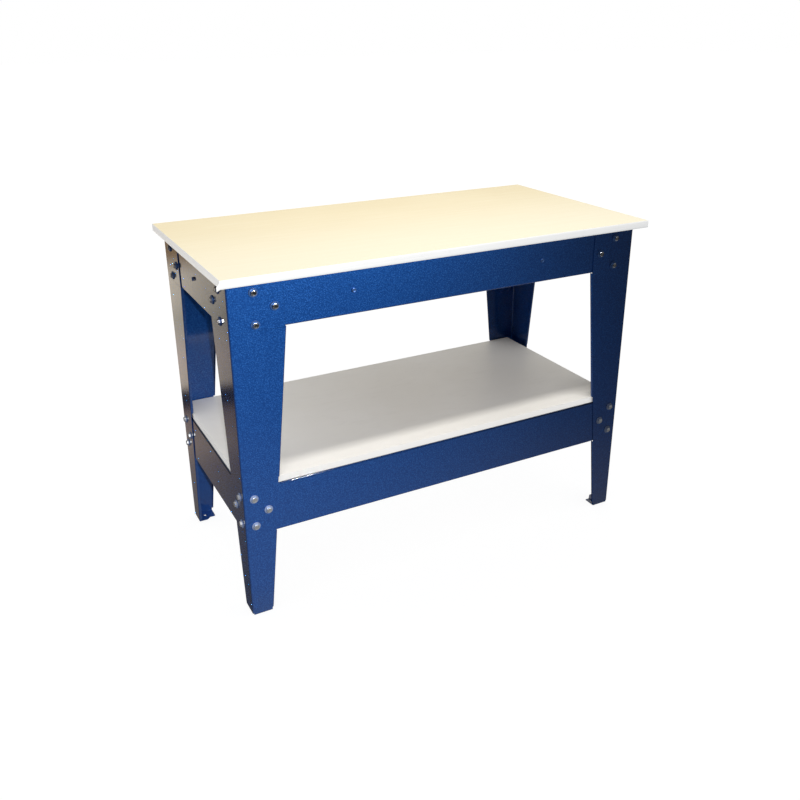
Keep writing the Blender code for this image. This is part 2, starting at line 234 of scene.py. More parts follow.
def hammertone_paint():
    """Blue hammer-finish enamel: metallic flake under a clear glossy skin."""
    mat, n, s, pos = new_material("hammertone_blue")
    warp = n.noise(pos, 160.0, 2.0, 0.5, out=1)
    warped = n.mix(0.0035, pos, warp, "ADD")
    cells = n.voronoi(warped, 330.0, "SMOOTH_F1", smooth=0.35)
    dimple = n.span(cells, 0.10, 0.62, 1.0, 0.0, smooth=True)
    fine = n.noise(pos, 900.0, 2.0, 0.6)
    broad = n.noise(pos, 9.0, 3.0, 0.55)
    flake = n.voronoi(pos, 620.0, "F1", out="Color")
    spark = n.add("ShaderNodeSeparateColor", "Red", Color=flake)
    tone = n.math("ADD", n.math("MULTIPLY", dimple, 0.50),
                  n.math("MULTIPLY", spark, 0.34))
    tone = n.math("ADD", tone, n.math("MULTIPLY", fine, 0.16))
    colour = n.ramp(tone, ((0.18, (0.009, 0.060, 0.250)), (0.50, (0.015, 0.092, 0.345)),
                           (0.85, (0.036, 0.150, 0.470))))
    colour = n.mix(n.span(broad, 0.35, 0.70, 0.0, 0.16), colour, (0.014, 0.070, 0.280, 1))
    # dust and scuffs near the floor, chips at the feet
    x, y, z = (n.add("ShaderNodeSeparateXYZ", axis, Vector=pos) for axis in "XYZ")
    low = n.span(z, 0.0, 0.10, 1.0, 0.0, smooth=True)
    grime = n.math("MULTIPLY", low, n.noise(pos, 55.0, 4.0, 0.65), clamp=True)
    colour = n.mix(n.math("MULTIPLY", grime, 0.30), colour, (0.100, 0.120, 0.160, 1))
    chip_noise = n.noise(pos, 140.0, 3.0, 0.7)
    chip = n.span(n.math("ADD", chip_noise, n.span(z, 0.0, 0.006, 0.24, 0.0)), 0.80, 0.82)
    colour = n.mix(chip, colour, (0.48, 0.47, 0.45, 1))
    # painted shade in the crease where the shelf lies on the folded edge of a rail
    crease_shade = n.math("MULTIPLY", n.span(z, RAIL_Z1 - 0.0040, RAIL_Z1 - 0.0028),
                   n.math("LESS_THAN", z, RAIL_Z1 + 0.0008))
    crease_shade = n.math("MULTIPLY", crease_shade, n.math("LESS_THAN", beyond_legs(n, x, y), -SHEET - 0.0001))
    colour = n.mix(n.math("MULTIPLY", crease_shade, 0.85), colour, (0.003, 0.014, 0.055, 1))
    n.put(s, "Base Color", colour)
    n.put(s, "Metallic", 1.0)
    rough = n.math("ADD", n.span(z, 0.10, 0.85, 0.62, 0.48), n.span(fine, 0.3, 0.7, -0.04, 0.04))
    n.put(s, "Roughness", rough)
    n.put(s, "Specular Tint", (0.0, 0.0, 0.0, 1))
    n.put(s, "Normal", n.bump(n.math("ADD", dimple, n.math("MULTIPLY", fine, 0.5)),
                              0.55, 0.00025))
    n.put(s, "Coat Weight", 1.0)
    n.put(s, "Coat Roughness", 0.07)
    n.put(s, "Coat IOR", 1.5)
    n.put(s, "Coat Normal", n.bump(dimple, 0.10, 0.00010))
    return mat


def zinc(name, colour, rough):
    """Bright zinc plate, slightly mottled and iridescent."""
    mat, n, s, pos = new_material(name)
    blot = n.noise(pos, 210.0, 3.0, 0.6)
    tint = n.noise(pos, 45.0, 2.0, 0.5)
    base = n.mix(n.span(tint, 0.35, 0.65), colour, (0.50, 0.51, 0.53, 1))
    base = n.mix(n.span(blot, 0.40, 0.75, 0.0, 0.55), base, (0.36, 0.37, 0.38, 1))
    # the fasteners low on the stand are duller and dustier
    x, y, z = (n.add("ShaderNodeSeparateXYZ", axis, Vector=pos) for axis in "XYZ")
    dull = n.span(z, 0.45, 0.65, 1.0, 0.0, smooth=True)
    base = n.mix(n.math("MULTIPLY", dull, 0.60), base, (0.56, 0.58, 0.60, 1))
    # the washers, which lie flat against the legs, carry a film of the paint
    depth = beyond_legs(n, x, y)
    washers = n.math("MULTIPLY", n.math("GREATER_THAN", depth, 0.0),
                     n.math("LESS_THAN", depth, WASHER_T + 0.0005))
    base = n.mix(n.math("MULTIPLY", washers, n.span(dull, 0.0, 1.0, 0.92, 0.60)), base,
                 (0.030, 0.110, 0.330, 1))
    n.put(s, "Base Color", base)
    n.put(s, "Metallic", 1.0)
    # the heads at the two ends of the table are more weathered
    ends = n.math("GREATER_THAN", n.math("SUBTRACT", n.math("ABSOLUTE", x), HX), 0.0)
    rubbed = n.math("ADD", n.math("MULTIPLY", dull, 0.22), n.math("MULTIPLY", washers, 0.28))
    rubbed = n.math("ADD", rubbed, n.math("MULTIPLY", ends, 0.14))
    n.put(s, "Roughness", n.math("ADD", n.span(blot, 0.3, 0.7, rough - 0.05, rough + 0.07),
                                 rubbed))
    grain = n.noise(n.stretch(pos, (1.0, 1.0, 5.0)), 900.0, 2.0, 0.6)
    n.put(s, "Normal", n.bump(grain, 0.35, 0.00006))
    return mat


def cream_laminate():
    """Almond high-pressure laminate with a fine suede texture."""
    mat, n, s, pos = new_material("cream_laminate")
    cloud = n.noise(pos, 3.2, 3.0, 0.5)
    fleck = n.noise(pos, 420.0, 3.0, 0.6)
    y = n.add("ShaderNodeSeparateXYZ", "Y", Vector=pos)
    # painted sheen: the top is mixed paler and whiter towards its front edge
    front_sheen = n.span(n.math("ADD", y, n.math("MULTIPLY", cloud, 0.12)), 0.36, -0.24, smooth=True)
    base = n.mix(n.span(cloud, 0.35, 0.65), (0.740, 0.648, 0.440, 1), (0.765, 0.680, 0.480, 1))
    base = n.mix(front_sheen, base, (0.742, 0.698, 0.565, 1))
    base = n.mix(n.span(fleck, 0.52, 0.70, 0.0, 0.30), base, (0.705, 0.625, 0.430, 1))
    # faint rubbed streaks along the bench
    rub = n.noise(n.stretch(pos, (2.0, 26.0, 1.0)), 3.0, 4.0, 0.6)
    base = n.mix(n.span(rub, 0.58, 0.72, 0.0, 0.22), base, (0.775, 0.715, 0.560, 1))
    n.put(s, "Base Color", base)
    n.put(s, "Roughness", n.span(rub, 0.35, 0.70, 0.44, 0.33))
    suede = n.noise(pos, 1500.0, 2.0, 0.6)
    n.put(s, "Normal", n.bump(suede, 0.25, 0.00005))
    return mat


def edge_band():
    """White extruded plastic edging."""
    mat, n, s, pos = new_material("white_edge_band")
    line = n.noise(n.stretch(pos, (1.5, 1.5, 260.0)), 3.0, 3.0, 0.6)
    smudge = n.noise(pos, 28.0, 4.0, 0.6)
    base = n.mix(n.span(line, 0.35, 0.70), (0.800, 0.808, 0.812, 1), (0.755, 0.767, 0.780, 1))
    base = n.mix(n.span(smudge, 0.55, 0.78, 0.0, 0.35), base, (0.66, 0.66, 0.66, 1))
    n.put(s, "Base Color", base)
    n.put(s, "Roughness", n.span(smudge, 0.3, 0.7, 0.30, 0.42))
    n.put(s, "Normal", n.bump(line, 0.20, 0.00010))
    return mat


def melamine():
    """Off-white melamine-faced board with a pearl texture."""
    mat, n, s, pos = new_material("grey_white_melamine")
    cloud = n.noise(pos, 4.0, 3.0, 0.5)
    base = n.mix(n.span(cloud, 0.35, 0.65), (0.770, 0.762, 0.745, 1), (0.800, 0.795, 0.785, 1))
    dust = n.noise(n.stretch(pos, (3.0, 9.0, 1.0)), 6.0, 5.0, 0.65)
    base = n.mix(n.span(dust, 0.56, 0.80, 0.0, 0.30), base, (0.680, 0.665, 0.640, 1))
    n.put(s, "Base Color", base)
    n.put(s, "Roughness", n.span(dust, 0.3, 0.7, 0.40, 0.55))
    pearl = n.voronoi(pos, 700.0, "SMOOTH_F1", smooth=0.6)
    n.put(s, "Normal", n.bump(pearl, 0.22, 0.00008))
    return mat


def particleboard():
    """Pressed wood chips, seen under the top and inside its screw holes."""
    mat, n, s, pos = new_material("particleboard")
    warped = n.mix(0.012, pos, n.noise(pos, 40.0, 2.0, 0.5, out=1), "ADD")
    flat = n.stretch(warped, (1.0, 1.7, 2.6))
    chips = n.voronoi(flat, 210.0, "F1", out="Color")
    shade = n.add("ShaderNodeSeparateColor", "Green", Color=chips)
    small = n.voronoi(flat, 620.0, "F1", out="Color")
    shade2 = n.add("ShaderNodeSeparateColor", "Blue", Color=small)
    tone = n.math("ADD", n.math("MULTIPLY", shade, 0.65), n.math("MULTIPLY", shade2, 0.35))
    base = n.ramp(tone, ((0.05, (0.235, 0.145, 0.075)), (0.45, (0.430, 0.300, 0.175)),
                         (0.95, (0.640, 0.500, 0.330))))
    edge = n.voronoi(flat, 210.0, "DISTANCE_TO_EDGE")
    base = n.mix(n.span(edge, 0.0, 0.08, 0.45, 0.0), base, (0.130, 0.080, 0.045, 1))
    n.put(s, "Base Color", base)
    n.put(s, "Roughness", 0.82)
    n.put(s, "Normal", n.bump(tone, 0.50, 0.00030))
    return mat


PAINT = hammertone_paint()
ZINC = zinc("zinc_fasteners", (0.64, 0.66, 0.70, 1), 0.15)
ZINC_SHEET = zinc("zinc_brackets", (0.52, 0.53, 0.54, 1), 0.42)
CREAM = cream_laminate()
WHITE = edge_band()
MELAMINE = melamine()
CHIPBOARD = particleboard()


# ---- mesh helpers ----------------------------------------------------------
COLL = bpy.data.collections.new("visual")
scene.collection.children.link(COLL)


def corner(sx, sy):
    """Placing inward from one corner of the leg frame: a along X, b along Y."""
    return lambda a, b, z: Vector((sx * (HX - a), sy * (HY - b), z))


def turned(place):
    return lambda a, b, z: place(b, a, z)


def quarter(n):
    return [math.radians(90 * i / n) for i in range(n + 1)]


def circle(u, v, r, n, phase=0.0):
    step = 2 * math.pi / n
    return [(u + r * math.cos(step * (i + phase)), v + r * math.sin(step * (i + phase)))
            for i in range(n)]


def join_rings(bm, one, two):
    n = len(one)
    for i in range(n):
        k = (i + 1) % n
        bm.faces.new((one[i], one[k], two[k], two[i]))


def fill(bm, outer, *holes):
    rings = [outer, *holes]
    verts = [v for ring in rings for v in ring]
    for tri in tessellate_polygon([[v.co for v in ring] for ring in rings]):
        bm.faces.new([verts[i] for i in tri])


def object_from(name, bm):
    bmesh.ops.recalc_face_normals(bm, faces=bm.faces)
    mesh = bpy.data.meshes.new(name)
    bm.to_mesh(mesh)
    bm.free()
    ob = bpy.data.objects.new(name, mesh)
    COLL.objects.link(ob)
    return ob


def add_mod(ob, kind, **settings):
    mod = ob.modifiers.new(kind.lower(), kind)
    for key, value in settings.items():
        setattr(mod, key, value)
    return mod


def soften(ob, width, segments=2, angle=35):
    add_mod(ob, "BEVEL", width=width, segments=segments, limit_method="ANGLE",
            angle_limit=math.radians(angle), harden_normals=False)


def bake_mods(ob):
    """Applies the modifiers and leaves one plain mesh."""
    graph = bpy.context.evaluated_depsgraph_get()
    mesh = bpy.data.meshes.new_from_object(ob.evaluated_get(graph))
    old = ob.data
    ob.modifiers.clear()
    ob.data = mesh
    bpy.data.meshes.remove(old)
    return ob


def smooth(ob, weighted=True, sharp=None):
    mesh = ob.data
    mesh.polygons.foreach_set("use_smooth", [True] * len(mesh.polygons))
    if sharp is not None:
        mesh.set_sharp_from_angle(angle=math.radians(sharp))
    if weighted:
        add_mod(ob, "WEIGHTED_NORMAL", mode="FACE_AREA", weight=60, keep_sharp=sharp is not None)
        bake_mods(ob)


def finish_piece(ob, mat, slot, *nodes):
    ob.data.materials.clear()
    ob.data.materials.append(mat)
    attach(ob, "root")
    if nodes:
        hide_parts(*nodes)
    return ob


def add_rod(bm, place, centre, d0, d1, r, n=24):
    u, v = centre
    ends = [[bm.verts.new(place(pu, pv, d)) for pu, pv in circle(u, v, r, n, 0.5)]
            for d in (d0, d1)]
    join_rings(bm, *ends)
    fill(bm, ends[0])
    fill(bm, ends[1])


def cut_holes(ob, rods):
    """rods is a list of add_rod arguments."""
    if not rods:
        return
    bm = bmesh.new()
    for rod in rods:
        add_rod(bm, *rod)
    cutter = object_from(ob.name + "_cutter", bm)
    add_mod(ob, "BOOLEAN", operation="DIFFERENCE", solver="EXACT", object=cutter)
    bake_mods(ob)
    bpy.data.objects.remove(cutter, do_unlink=True)


def fold_sheet(name, patches, flip, rods, thickness=SHEET, shape=None):
    """One folded sheet, thickened inward from grids of outer-skin points."""
    bm = bmesh.new()
    for rows, keep in patches:
        grid = [[bm.verts.new(p) for p in row] for row in rows]
        for j in range(len(rows) - 1):
            for i in range(len(rows[0]) - 1):
                if keep(j, i):
                    quad = [grid[j][i], grid[j][i + 1],
                            grid[j + 1][i + 1], grid[j + 1][i]]
                    bm.faces.new(quad[::-1] if flip else quad)
    bmesh.ops.remove_doubles(bm, verts=bm.verts, dist=0.00001)
    bmesh.ops.delete(bm, geom=[v for v in bm.verts if not v.link_faces], context="VERTS")
    mesh = bpy.data.meshes.new(name)
    bm.to_mesh(mesh)
    bm.free()
    ob = bpy.data.objects.new(name, mesh)
    COLL.objects.link(ob)
    add_mod(ob, "SOLIDIFY", thickness=thickness, offset=-1, use_even_offset=True)
    bake_mods(ob)
    if shape:
        shape(ob)
    cut_holes(ob, rods)
    soften(ob, EDGE_R)
    bake_mods(ob)
    smooth(ob)
    return ob


# ---- legs ------------------------------------------------------------------
CORNERS = {"front_left": (-1, -1), "front_right": (1, -1),
           "back_left": (-1, 1), "back_right": (1, 1)}
SIDES = {"front": ("x", -1), "back": ("x", 1), "left": ("y", -1), "right": ("y", 1)}
SHELF_TOP = shelf_hi.z
N_FOLD, N_CORNER = 6, 8


def leg_width(z):
    return LEG_FOOT_W + (LEG_TOP_W - LEG_FOOT_W) * min(z, APRON_Z0) / APRON_Z0


def group_centres(us, z):
    return [(us[0], z + BOLT_PITCH), (us[1], z), (us[0], z - BOLT_PITCH)]


GROUPS = ((UPPER_U, UPPER_Z, "upper"), (LOWER_U, LOWER_Z, "lower"))


def build_leg(name, sx, sy):
    place = corner(sx, sy)
    step = SHEET + 0.0005
    levels = [FOLD_R, step + FOLD_R, LIP_FOOT, RAIL_Z0 - LIP_END,
              SHELF_TOP + LIP_END, APRON_Z0 - LIP_END, APRON_Z0, FRAME_Z]
    relief = {2: FOOT_SLANT, 3: -LIP_SLANT, 4: SHELF_SLANT, 5: -LIP_SLANT}
    lipped = {2, 4}
    n_lip = N_FOLD + 1
    front_cell = n_lip
    end_cell = n_lip + N_CORNER + 1
    last = end_cell + n_lip
    lip_cells = set(range(n_lip)) | set(range(end_cell + 1, last + 1))

    def section(j, z):
        w, r, c = leg_width(z), FOLD_R, CORNER_R
        zl = z + relief.get(j, 0.0)
        wl = leg_width(zl)
        pts = [(wl, LIP, zl)]
        pts += [(w - r + r * math.cos(t), r - r * math.sin(t), z) for t in quarter(N_FOLD)]
        pts += [(c - c * math.sin(t), c - c * math.cos(t), z) for t in quarter(N_CORNER)]
        pts += [(r - r * math.cos(t), w - r + r * math.sin(t), z) for t in quarter(N_FOLD)]
        pts += [(LIP, wl, zl)]
        return [place(*p) for p in pts]

    def metal(j, i):
        if j == 0:
            return i == front_cell
        return i not in lip_cells or j in lipped

    patches = [([section(j, z) for j, z in enumerate(levels)], metal)]
    for swap, z0, row in ((False, 0.0, 0), (True, step, 1)):
        put = turned(place) if swap else place
        inner = leg_width(levels[row]) - FOLD_R
        cut = END_TRIM if swap else FACE_TRIM
        rows = []
        for t in quarter(N_FOLD):
            b, z = FOLD_R * (1 - math.cos(t)), z0 + FOLD_R * (1 - math.sin(t))
            rows.append([put(inner, b, z), put(CORNER_R, b, z)])
        rows.append([put(inner, FOOT_FLANGE - cut, z0), put(CORNER_R, FOOT_FLANGE, z0)])
        rows.append([put(inner - cut, FOOT_FLANGE, z0), put(CORNER_R, FOOT_FLANGE, z0)])
        if swap:
            rows = [r[::-1] for r in rows]
        patches.append((rows[::-1], lambda j, i: True))
    rods = []
    for across in (place, turned(place)):
        for us, z, _ in GROUPS:
            for centre in group_centres(us, z):
                rods.append((lambda u, v, d, f=across: f(u, d, v), centre,
                             -0.004, SHEET + 0.002, HOLE_R))
    rods.append((place, (FOOT_HOLE_AT, FOOT_HOLE_AT), -0.004, 0.010, FOOT_HOLE_R))
    ob = fold_sheet("leg_panel_" + name, patches, sx * sy > 0, rods)
    return finish_piece(ob, PAINT, "blue_paint", "leg_" + name)


# ---- aprons and rails ------------------------------------------------------
BRACKETS = {"front_left": ("x", -1, -BRACKET_X), "front_right": ("x", -1, BRACKET_X),
            "back_left": ("x", 1, -BRACKET_X), "back_right": ("x", 1, BRACKET_X),
            "left": ("y", -1, 0.0), "right": ("y", 1, 0.0)}


def along(axis, side, offset=0.0):
    """Placing on one side of the frame: s along it, b inward, z up."""
    if axis == "x":
        return lambda s, b, z: Vector((offset + s, side * (HY - b), z))
    return lambda s, b, z: Vector((side * (HX - b), offset + s, z))


def build_channel(kind, name, z0, z1, top_flange):
    axis, side = SIDES[name]
    full = HX if axis == "x" else HY
    half = full - WEB_END
    place = along(axis, side)
    stations = (-half, -half + COPE, half - COPE, half)
    relief = {1: 0.008, 2: -0.008}
    r, b0 = FOLD_R, WEB_B
    profile = [(b0 + FLANGE, z0, 1)]
    profile += [(b0 + r - r * math.sin(t), z0 + r - r * math.cos(t), 0) for t in quarter(N_FOLD)]
    if top_flange:
        profile += [(b0 + r - r * math.cos(t), z1 - r + r * math.sin(t), 0)
                    for t in quarter(N_FOLD)]
        profile += [(b0 + FLANGE, z1, 1)]
    else:
        profile += [(b0, z1, 0)]
    web_cell = N_FOLD + 1
    rows = [[place(s + free * relief.get(j, 0.0), b, z) for b, z, free in profile]
            for j, s in enumerate(stations)]
    flip = (side < 0) == (axis == "x")
    rods = []
    through = (-0.001, BACK_B + 0.003, HOLE_R)
    for end in (-1, 1):
        for us, z, level in GROUPS:
            if (level == "upper") == top_flange:
                continue
            for u, v in group_centres(us, z):
                rods.append((lambda p, q, d: place(p, d, q), (end * (full - u), v), *through))
    if not top_flange:
        for b_axis, b_side, offset in BRACKETS.values():
            if (b_axis, b_side) == (axis, side):
                rods.append((lambda p, q, d: place(p, d, q), (offset, BRACKET_Z),
                             through[0], through[1], SMALL_HOLE_R))
    elif axis == "x":
        for ex in (-1, 1):
            rods.append((lambda p, q, d: Vector((p, side * (HY - q), d)),
                         (ex * SHELF_SCREW_X, SHELF_SCREW_B), z1 - 0.006, z1 + 0.002,
                         SCREW_HOLE_R))
    ob = fold_sheet(f"{kind}_panel_{name}", [(rows, lambda j, i: i == web_cell or j == 1)],
                    flip, rods)
    return finish_piece(ob, PAINT, "blue_paint", f"{kind}_{name}")


# ---- fasteners -------------------------------------------------------------
def lathe(bm, put, rings, closed=False):
    """Rings of (distance, radius or radius function); caps both ends."""
    made = []
    for d, radius in rings:
        ring = []
        for k in range(LATHE_N):
            t = 2 * math.pi * k / LATHE_N
            r = radius(t) if callable(radius) else radius
            depth = d(t) if callable(d) else d
            ring.append(bm.verts.new(put(r * math.cos(t), r * math.sin(t), depth)))
        made.append(ring)
    for one, two in zip(made, made[1:]):
        join_rings(bm, one, two)
    if closed:
        join_rings(bm, made[-1], made[0])
    else:
        bm.faces.new(made[0])
        bm.faces.new(made[-1])


LATHE_N = 36


def hex_r(circum, spin):
    apothem = circum * math.cos(math.radians(30))

    def radius(t):
        local = (t - spin) % math.radians(60) - math.radians(30)
        return apothem / math.cos(local)
    return radius


def hex_rings(d_out, d_in, circum, spin, both=False):
    """Outer face at d_out with a 30 degree chamfer, down to d_in."""
    r = hex_r(circum, spin)
    flat = circum * math.cos(math.radians(30)) * 0.95
    sign = 1 if d_in > d_out else -1

    def drop(t):
        return (r(t) - flat) * math.tan(math.radians(30))
    rings = [(d_out, flat * 0.90), (d_out, flat), (lambda t: d_out + sign * drop(t), r)]
    if both:
        rings += [(lambda t: d_in - sign * drop(t), r), (d_in, flat)]
    else:
        rings += [(d_in, r)]
    return rings


def thread_rings(d0, d1, r, pitch=0.00125):
    rings, d = [], d0
    while d + pitch < d1 - 0.0012:
        rings += [(d, r), (d + 0.35 * pitch, r), (d + 0.62 * pitch, r * 0.86),
                  (d + 0.72 * pitch, r * 0.86)]
        d += pitch
    rings += [(d, r), (d1 - 0.0010, r), (d1, r * 0.72)]
    return rings


def washer(bm, put, d0, d1):
    e = 0.00030
    lathe(bm, put, [(d0, HOLE_R), (d0, WASHER_R - e), (d0 + e, WASHER_R), (d1 - e, WASHER_R),
                    (d1, WASHER_R - e), (d1, HOLE_R)], closed=True)


BIG = {"head_r": HEAD_R, "head_h": HEAD_H, "shank_r": SHANK_R, "nut_h": NUT_H, "washer": WASHER_T}
SMALL = {"head_r": 0.0057, "head_h": 0.0040, "shank_r": 0.0029, "nut_h": 0.0048, "washer": 0.0}


def add_bolt(bm, place, centre, seat, grip, size, rng):
    """One hex bolt and its nut from seat to grip, with washers if it has them."""
    u, v = centre

    def put(p, q, d):
        return place(u + p, v + q, d)
    r, shank, t = size["head_r"], size["shank_r"], size["washer"]
    low, top = seat - t, seat - t - size["head_h"]
    head = hex_rings(top, low, r, rng.uniform(0, math.radians(60)))
    dish = [(top + 0.0004, r * 0.30), (top + 0.0004, r * 0.60)]
    end = grip + t + size["nut_h"]
    tip = end + rng.uniform(0.0022, 0.0032)
    lathe(bm, put, dish + head + [(low, shank)] + thread_rings(seat + 0.0018, tip, shank))
    if t:
        washer(bm, put, low, seat)
        washer(bm, put, grip, grip + t)
    nut = hex_rings(end, grip + t + 0.0001, r, rng.uniform(0, math.radians(60)), both=True)
    lathe(bm, put, [(end, shank + 0.0002)] + nut[1:] + [(grip + t + 0.0001, shank + 0.0002)],
          closed=True)


def build_bolts(rng):
    for name, (sx, sy) in CORNERS.items():
        put = corner(sx, sy)
        face = name.split("_")[0]
        for tag, across in ((face, put), ("end", turned(put))):
            for us, z, level in GROUPS:
                bm = bmesh.new()
                for centre in group_centres(us, z):
                    add_bolt(bm, lambda p, q, d, f=across: f(p, d, q), centre, -GAP,
                             BACK_B, BIG, rng)
                node = f"bolts_{name}_{tag}_{level}"
                ob = object_from("hex_" + node, bm)
                smooth(ob, weighted=False, sharp=HEAD_SHARP)
                finish_piece(ob, ZINC, "zinc_fasteners", node)


def build_brackets(rng):
    for name, (axis, side, offset) in BRACKETS.items():
        place = along(axis, side, offset)
        r, low, top, b0 = FOLD_R + 0.0012, BRACKET_Z - 0.013, FRAME_Z, BACK_B
        profile = [(b0, low)]
        profile += [(b0 + r - r * math.cos(t), top - r + r * math.sin(t))
                    for t in quarter(N_FOLD)]
        profile += [(b0 + BRACKET_REACH, top)]
        rows = [[place(s, b, z) for b, z in profile] for s in (-BRACKET_W / 2, BRACKET_W / 2)]

        def round_corners(ob):
            bm = bmesh.new()
            bm.from_mesh(ob.data)
            ends = (place(0, b0, low), place(0, b0 + BRACKET_REACH, top))
            picked = []
            for e in bm.edges:
                mid = (e.verts[0].co + e.verts[1].co) / 2
                length = e.calc_length()
                s = mid.x - offset if axis == "x" else mid.y - offset
                near = min((mid - p).length for p in ends)
                if abs(length - BRACKET_T) < 0.0004 and abs(abs(s) - BRACKET_W / 2) < 0.0002 \
                        and near < 0.016:
                    picked.append(e)
            bmesh.ops.bevel(bm, geom=picked, offset=0.006, segments=6, profile=0.5,
                            affect="EDGES")
            bm.to_mesh(ob.data)
            bm.free()
        spot = place(0, SCREW_B, 0)
        rods = [(lambda p, q, d: place(p, d, q), (0.0, BRACKET_Z), b0 - 0.002,
                 b0 + BRACKET_T + 0.002, SMALL_HOLE_R),
                (lambda p, q, d: Vector((p, q, d)), (spot.x, spot.y), FRAME_Z - 0.006,
                 FRAME_Z + 0.002, SCREW_HOLE_R)]
        ob = fold_sheet("angle_bracket_" + name, [(rows, lambda j, i: True)],
                        (side < 0) == (axis == "x"), rods, BRACKET_T, round_corners)
        finish_piece(ob, ZINC_SHEET, "zinc_brackets", "bracket_" + name)

        bm = bmesh.new()
        add_bolt(bm, lambda p, q, d: place(p, d, q), (0.0, BRACKET_Z), WEB_B - GAP,
                 BACK_B + BRACKET_T + GAP, SMALL, rng)
        ob = object_from("hex_bracket_bolt_" + name, bm)
        smooth(ob, weighted=False, sharp=HEAD_SHARP)
        finish_piece(ob, ZINC, "zinc_fasteners", "bracket_bolt_" + name)


def build_screw(name, node, x, y, seat, bite, rng):
    """Pan-head wood screw with a cross recess, driven upward."""
    bm = bmesh.new()

    def put(p, q, d):
        return Vector((x + p, y + q, d))
    h, hr = SCREW_HEAD_H, SCREW_HEAD_R
    head = [(seat - h, hr * 0.30), (seat - h * 0.97, hr * 0.52), (seat - h * 0.84, hr * 0.78),
            (seat - h * 0.58, hr * 0.95), (seat - h * 0.30, hr), (seat, hr)]
    shank, d, pitch = [(seat, SCREW_R * 0.8)], seat + 0.001, 0.0016
    while d < bite - 0.0042:
        shank += [(d, SCREW_R * 0.66), (d + pitch * 0.40, SCREW_R),
                  (d + pitch * 0.55, SCREW_R), (d + pitch * 0.95, SCREW_R * 0.66)]
        d += pitch
    shank += [(d, SCREW_R * 0.66), (bite, SCREW_R * 0.10)]
    lathe(bm, put, head + shank)
    ob = object_from(name, bm)
    cross = bmesh.new()
    spin = rng.uniform(0, math.pi / 2)
    for turn in (spin, spin + math.pi / 2):
        c, s = math.cos(turn), math.sin(turn)
        lx, ly = hr * 0.52, hr * 0.11
        quad = [(lx, ly), (-lx, ly), (-lx, -ly), (lx, -ly)]
        ends = []
        for d, k in ((seat - h - 0.001, 1.0), (seat - h * 0.30, 0.55)):
            ends.append([cross.verts.new((x + (p * c - q * s) * k, y + (p * s + q * c) * k, d))
                         for p, q in quad])
        join_rings(cross, *ends)
        cross.faces.new(ends[0])
        cross.faces.new(ends[1])
    cutter = object_from(name + "_cross", cross)
    add_mod(ob, "BOOLEAN", operation="DIFFERENCE", solver="EXACT", object=cutter,
            use_self=True)
    bake_mods(ob)
    bpy.data.objects.remove(cutter, do_unlink=True)
    smooth(ob, weighted=False, sharp=HEAD_SHARP)
    return finish_piece(ob, ZINC, "zinc_fasteners", node)


def build_screws(rng):
    for name, (axis, side, offset) in BRACKETS.items():
        spot = along(axis, side, offset)(0.0, SCREW_B, 0.0)
        build_screw("pan_top_screw_" + name, "top_screw_" + name, spot.x, spot.y,
                    FRAME_Z - BRACKET_T - GAP, TOP_Z + SCREW_BITE, rng)
    for end, ex in (("left", -1), ("right", 1)):
        for face, fy in (("front", -1), ("back", 1)):
            build_screw(f"pan_shelf_screw_{end}_{face}", f"shelf_screw_{end}_{face}",
                        ex * SHELF_SCREW_X, fy * (HY - SHELF_SCREW_B),
                        RAIL_Z1 - SHEET - GAP, shelf_lo.z + SCREW_BITE, rng)


# ---- tabletop and shelf ----------------------------------------------------
def slab(name, x, y, z, chamfer=0.0, seg=5):
    """A board with optional rounded plan corners."""
    (x0, x1), (y0, y1), (z0, z1) = x, y, z
    plan = []
    for cx, cy, start in ((x1, y1, 0), (x0, y1, 90), (x0, y0, 180), (x1, y0, 270)):
        if not chamfer:
            plan.append((cx, cy))
            continue
        ix = cx - chamfer * (1 if cx == x1 else -1)
        iy = cy - chamfer * (1 if cy == y1 else -1)
        for i in range(seg + 1):
            t = math.radians(start + 90 * i / seg)
            plan.append((ix + chamfer * math.cos(t), iy + chamfer * math.sin(t)))
    bm = bmesh.new()
    low = [bm.verts.new((px, py, z0)) for px, py in plan]
    high = [bm.verts.new((px, py, z1)) for px, py in plan]
    bm.faces.new(low[::-1])
    bm.faces.new(high)
    join_rings(bm, low, high)
    return object_from(name, bm)


def band_strip(name, path, inward, z0, z1, thick, bulge):
    """Edge banding swept along path, its outer face slightly crowned.

    path is a list of (point, drop, swing, height) on the outer line, height
    as a share of the full one; inward is the direction of the board."""
    steps = 10
    profile = [(thick, 0.0)]
    for i in range(steps + 1):
        t = -1 + 2 * i / steps
        profile.append((bulge * abs(t) ** 5, (t + 1) / 2))
    profile.append((thick, 1.0))
    bm = bmesh.new()
    rings = []
    for point, drop, swing, tall in path:
        rings.append([bm.verts.new(Vector(point) + inward * (depth + swing)
                                   + Vector((0, 0, z0 + (z1 - z0) * f * tall - drop)))
                      for depth, f in profile])
    for one, two in zip(rings, rings[1:]):
        join_rings(bm, one, two)
    bm.faces.new(rings[0])
    bm.faces.new(rings[-1])
    ob = object_from(name, bm)
    soften(ob, 0.00035, 2, 40)
    bake_mods(ob)
    smooth(ob)
    return ob


